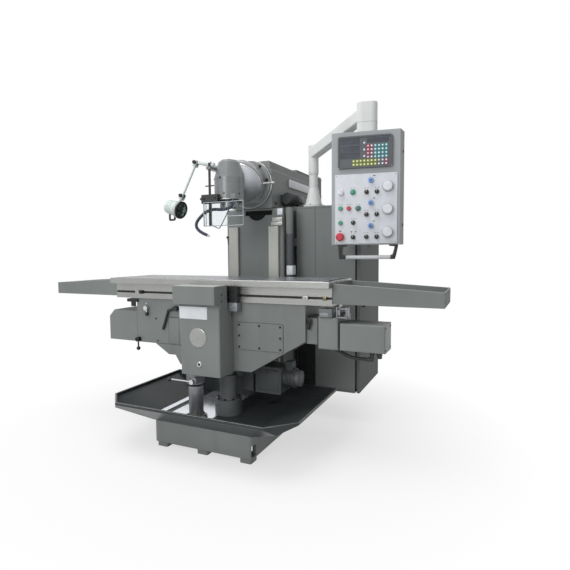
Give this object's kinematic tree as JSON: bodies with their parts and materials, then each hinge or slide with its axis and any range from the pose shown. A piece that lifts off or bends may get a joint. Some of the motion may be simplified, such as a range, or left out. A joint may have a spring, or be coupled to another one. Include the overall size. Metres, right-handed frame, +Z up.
{
  "type": "universal milling machine",
  "caption": "Floor-standing universal knee milling machine: column, ram with double-swivel head, long T-slot table with end trays, chip pan, cabinet and control pendant on an arm.",
  "frame": {"origin": "centre of the anchor-bolt rectangle on the floor", "axes": "+X right along the table, +Y from the operator to the column, +Z up"},
  "size_m": [2.8, 1.977, 2.19],
  "materials": {
    "paint_grey": "semi-gloss grey machine paint",
    "paint_dark": "dark grey paint, oily",
    "paint_light": "off-white paint",
    "sheet_grey": "grey painted sheet",
    "pendant_grey": "light grey paint",
    "panel_pale": "pale printed panel",
    "machined_steel": "ground metal",
    "cast_dark": "dark casting",
    "lever_chrome": "bright metal",
    "lamp_white": "painted aluminium",
    "handle_light": "light tube with dark brackets",
    "black_plastic": "matte black",
    "readout_dark": "dark grey housing",
    "red_plastic": "red",
    "green_plastic": "green",
    "blue_plastic": "blue",
    "white_plastic": "white",
    "black_rubber": "black sheath",
    "hose_plastic": "dark blue segments",
    "clear_screen": "clear screen"
  },
  "bodies": {
    "frame": {"base_casting": "paint_grey", "chip_pan": "paint_dark", "column_casting": "paint_grey", "knee_guides": "machined_steel", "elevating_column": "cast_dark", "cabinet_body": "sheet_grey", "arm_post": "paint_light"},
    "knee": {"knee_casting": "paint_grey", "knee_cover": "sheet_grey", "post_clamp": "cast_dark", "lift_drive": "paint_dark"},
    "lift_screw": {"elevating_screw": "machined_steel"},
    "post_lever": {"post_lever": "lever_chrome"},
    "saddle": {"saddle_casting": "paint_grey", "x_feed_housings": "paint_grey", "motor_cable": "black_rubber", "limit_switch": "black_plastic"},
    "table_lock_lever": {"table_lock_lever": "black_plastic"},
    "feed_lever": {"feed_lever": "lever_chrome"},
    "ball_lever": {"ball_lever": "lever_chrome"},
    "table": {"table_top": "machined_steel", "end_trays": "sheet_grey"},
    "ram": {"ram_casting": "paint_grey", "ram_cover": "sheet_grey", "ram_motor": "paint_dark"},
    "head_block": {"head_block": "paint_grey"},
    "head": {"head_body": "paint_grey", "coolant_hose": "hose_plastic"},
    "spindle": {"spindle": "machined_steel"},
    "lamp_arm": {"lamp_arm": "lamp_white"},
    "lamp_forearm": {"lamp_forearm": "lamp_white"},
    "lamp_head": {"lamp_head": "lamp_white"},
    "guard": {"guard_carrier": "black_plastic", "guard_screen": "clear_screen"},
    "cabinet_door": {"cabinet_door": "sheet_grey"},
    "door_latch": {"door_latch": "black_plastic"},
    "pendant_arm": {"pendant_arm": "paint_light"},
    "pendant": {"pendant_box": "pendant_grey", "pendant_panel": "panel_pale", "readout": "readout_dark", "pendant_handle": "handle_light"},
    "start_button": {"start_button": "green_plastic"},
    "halt_button": {"halt_button": "red_plastic"},
    "coolant_button": {"coolant_button": "green_plastic"},
    "stop_mushroom": {"stop_mushroom": "red_plastic"},
    "mode_selector": {"mode_selector": "black_plastic"},
    "axis_selector": {"axis_selector": "black_plastic"},
    "switch_x_left": {"switch_x_left": "black_plastic"},
    "switch_x_right": {"switch_x_right": "black_plastic"},
    "switch_y_left": {"switch_y_left": "black_plastic"},
    "switch_y_right": {"switch_y_right": "black_plastic"},
    "switch_z_left": {"switch_z_left": "black_plastic"},
    "switch_z_right": {"switch_z_right": "black_plastic"},
    "feed_knob_x": {"feed_knob_x": "blue_plastic"},
    "feed_knob_y": {"feed_knob_y": "blue_plastic"},
    "feed_knob_z": {"feed_knob_z": "blue_plastic"},
    "speed_knob": {"speed_knob": "white_plastic"},
    "jog_dial_x": {"jog_dial_x": "white_plastic"},
    "jog_dial_y": {"jog_dial_y": "white_plastic"},
    "jog_dial_z": {"jog_dial_z": "white_plastic"}
  },
  "joints": [
    {"name": "knee_lift", "type": "slide", "parent": "frame", "child": "knee", "axis": [0, 0, 1], "range_m": [-0.09, 0.22]},
    {"name": "lift_screw_turn", "type": "hinge", "parent": "knee", "child": "lift_screw", "pos_m": [0.024, -0.33, 0.66], "axis": [0, 0, 1], "range_deg": [-3250, 7930]},
    {"name": "post_lever_turn", "type": "hinge", "parent": "knee", "child": "post_lever", "pos_m": [-0.05, -0.623, 0.458], "axis": [0, 1, 0], "range_deg": [-45, 45]},
    {"name": "saddle_cross", "type": "slide", "parent": "knee", "child": "saddle", "axis": [0, 1, 0], "range_m": [0, 0.13]},
    {"name": "table_feed", "type": "slide", "parent": "saddle", "child": "table", "axis": [1, 0, 0], "range_m": [-0.4, 0.4]},
    {"name": "table_lock_turn", "type": "hinge", "parent": "saddle", "child": "table_lock_lever", "pos_m": [-0.29, -0.459, 0.884], "axis": [0, 1, 0], "range_deg": [-20, 50]},
    {"name": "feed_lever_turn", "type": "hinge", "parent": "saddle", "child": "feed_lever", "pos_m": [-0.535, -0.459, 0.878], "axis": [0, 1, 0], "range_deg": [-40, 40]},
    {"name": "ball_lever_turn", "type": "hinge", "parent": "saddle", "child": "ball_lever", "pos_m": [-0.616, -0.459, 0.656], "axis": [0, 1, 0], "range_deg": [-30, 30]},
    {"name": "ram_slide", "type": "slide", "parent": "frame", "child": "ram", "axis": [0, -1, 0], "range_m": [-0.12, 0.2]},
    {"name": "head_swivel", "type": "hinge", "parent": "ram", "child": "head_block", "pos_m": [0, 0.048, 1.748], "axis": [0, -1, 0], "range_deg": [-90, 90]},
    {"name": "head_tilt", "type": "hinge", "parent": "head_block", "child": "head", "pos_m": [0, -0.09, 1.748], "axis": [0, 0.7071, 0.7071], "range_deg": [-20, 180]},
    {"name": "spindle_turn", "type": "hinge", "parent": "head", "child": "spindle", "pos_m": [0, -0.241, 1.6], "axis": [0, 0, 1], "continuous": true},
    {"name": "lamp_swing", "type": "hinge", "parent": "head", "child": "lamp_arm", "pos_m": [-0.126, -0.241, 1.852], "axis": [0, 0, 1], "range_deg": [-40, 40]},
    {"name": "lamp_elbow", "type": "hinge", "parent": "lamp_arm", "child": "lamp_forearm", "pos_m": [-0.262, -0.241, 1.877], "axis": [0, 1, 0], "range_deg": [-25, 20]},
    {"name": "lamp_wrist", "type": "hinge", "parent": "lamp_forearm", "child": "lamp_head", "pos_m": [-0.384, -0.241, 1.657], "axis": [0, 1, 0], "range_deg": [-35, 35]},
    {"name": "guard_height", "type": "slide", "parent": "head", "child": "guard", "axis": [0, 0, 1], "range_m": [0, 0.04]},
    {"name": "door_hinge", "type": "hinge", "parent": "frame", "child": "cabinet_door", "pos_m": [0.75615, 0.874, 0.9], "axis": [0, 0, 1], "range_deg": [0, 110]},
    {"name": "latch_turn", "type": "hinge", "parent": "cabinet_door", "child": "door_latch", "pos_m": [0.767, 0.305, 0.907], "axis": [1, 0, 0], "range_deg": [0, 90]},
    {"name": "arm_swing", "type": "hinge", "parent": "frame", "child": "pendant_arm", "pos_m": [0.382, 0.35, 1.9], "axis": [0, 0, 1], "range_deg": [-20, 40]},
    {"name": "pendant_swivel", "type": "hinge", "parent": "pendant_arm", "child": "pendant", "pos_m": [0.87557, 0.00692, 2.007], "axis": [0, 0, 1], "range_deg": [-45, 45]},
    {"name": "start_button_press", "type": "slide", "parent": "pendant", "child": "start_button", "axis": [-0.1564, 0.9877, 0], "range_m": [0, 0.004], "stiffness_N_per_m": 500, "springref_m": -0.004},
    {"name": "halt_button_press", "type": "slide", "parent": "pendant", "child": "halt_button", "axis": [-0.1564, 0.9877, 0], "range_m": [0, 0.004], "stiffness_N_per_m": 500, "springref_m": -0.004},
    {"name": "coolant_button_press", "type": "slide", "parent": "pendant", "child": "coolant_button", "axis": [-0.1564, 0.9877, 0], "range_m": [0, 0.004], "stiffness_N_per_m": 500, "springref_m": -0.004},
    {"name": "stop_press", "type": "slide", "parent": "pendant", "child": "stop_mushroom", "axis": [-0.1564, 0.9877, 0], "range_m": [0, 0.006], "stiffness_N_per_m": 1500, "springref_m": -0.004},
    {"name": "mode_selector_turn", "type": "hinge", "parent": "pendant", "child": "mode_selector", "pos_m": [0.80394, -0.0586, 1.437], "axis": [0.1564, -0.9877, 0], "range_deg": [-45, 45]},
    {"name": "axis_selector_turn", "type": "hinge", "parent": "pendant", "child": "axis_selector", "pos_m": [0.80394, -0.0586, 1.345], "axis": [0.1564, -0.9877, 0], "range_deg": [-45, 45]},
    {"name": "switch_x_left_turn", "type": "hinge", "parent": "pendant", "child": "switch_x_left", "pos_m": [0.8869, -0.04546, 1.628], "axis": [0.1564, -0.9877, 0], "range_deg": [-45, 45]},
    {"name": "switch_x_right_turn", "type": "hinge", "parent": "pendant", "child": "switch_x_right", "pos_m": [0.95011, -0.03545, 1.628], "axis": [0.1564, -0.9877, 0], "range_deg": [-45, 45]},
    {"name": "switch_y_left_turn", "type": "hinge", "parent": "pendant", "child": "switch_y_left", "pos_m": [0.8869, -0.04546, 1.487], "axis": [0.1564, -0.9877, 0], "range_deg": [-45, 45]},
    {"name": "switch_y_right_turn", "type": "hinge", "parent": "pendant", "child": "switch_y_right", "pos_m": [0.95011, -0.03545, 1.487], "axis": [0.1564, -0.9877, 0], "range_deg": [-45, 45]},
    {"name": "switch_z_left_turn", "type": "hinge", "parent": "pendant", "child": "switch_z_left", "pos_m": [0.8869, -0.04546, 1.346], "axis": [0.1564, -0.9877, 0], "range_deg": [-45, 45]},
    {"name": "switch_z_right_turn", "type": "hinge", "parent": "pendant", "child": "switch_z_right", "pos_m": [0.95011, -0.03545, 1.346], "axis": [0.1564, -0.9877, 0], "range_deg": [-45, 45]},
    {"name": "feed_knob_x_turn", "type": "hinge", "parent": "pendant", "child": "feed_knob_x", "pos_m": [0.91258, -0.04139, 1.7], "axis": [0.1564, -0.9877, 0], "range_deg": [-135, 135]},
    {"name": "feed_knob_y_turn", "type": "hinge", "parent": "pendant", "child": "feed_knob_y", "pos_m": [0.91258, -0.04139, 1.56], "axis": [0.1564, -0.9877, 0], "range_deg": [-135, 135]},
    {"name": "feed_knob_z_turn", "type": "hinge", "parent": "pendant", "child": "feed_knob_z", "pos_m": [0.91258, -0.04139, 1.416], "axis": [0.1564, -0.9877, 0], "range_deg": [-135, 135]},
    {"name": "speed_knob_turn", "type": "hinge", "parent": "pendant", "child": "speed_knob", "pos_m": [0.72591, -0.07096, 1.628], "axis": [0.1564, -0.9877, 0], "range_deg": [-135, 135]},
    {"name": "jog_dial_x_turn", "type": "hinge", "parent": "pendant", "child": "jog_dial_x", "pos_m": [1.01629, -0.02496, 1.659], "axis": [0.1564, -0.9877, 0], "continuous": true},
    {"name": "jog_dial_y_turn", "type": "hinge", "parent": "pendant", "child": "jog_dial_y", "pos_m": [1.01629, -0.02496, 1.517], "axis": [0.1564, -0.9877, 0], "continuous": true},
    {"name": "jog_dial_z_turn", "type": "hinge", "parent": "pendant", "child": "jog_dial_z", "pos_m": [1.01629, -0.02496, 1.374], "axis": [0.1564, -0.9877, 0], "continuous": true}
  ],
  "couplings": [
    {"joint": "lift_screw_turn", "follows": "knee_lift", "rad_per_m": 628.32}
  ]
}
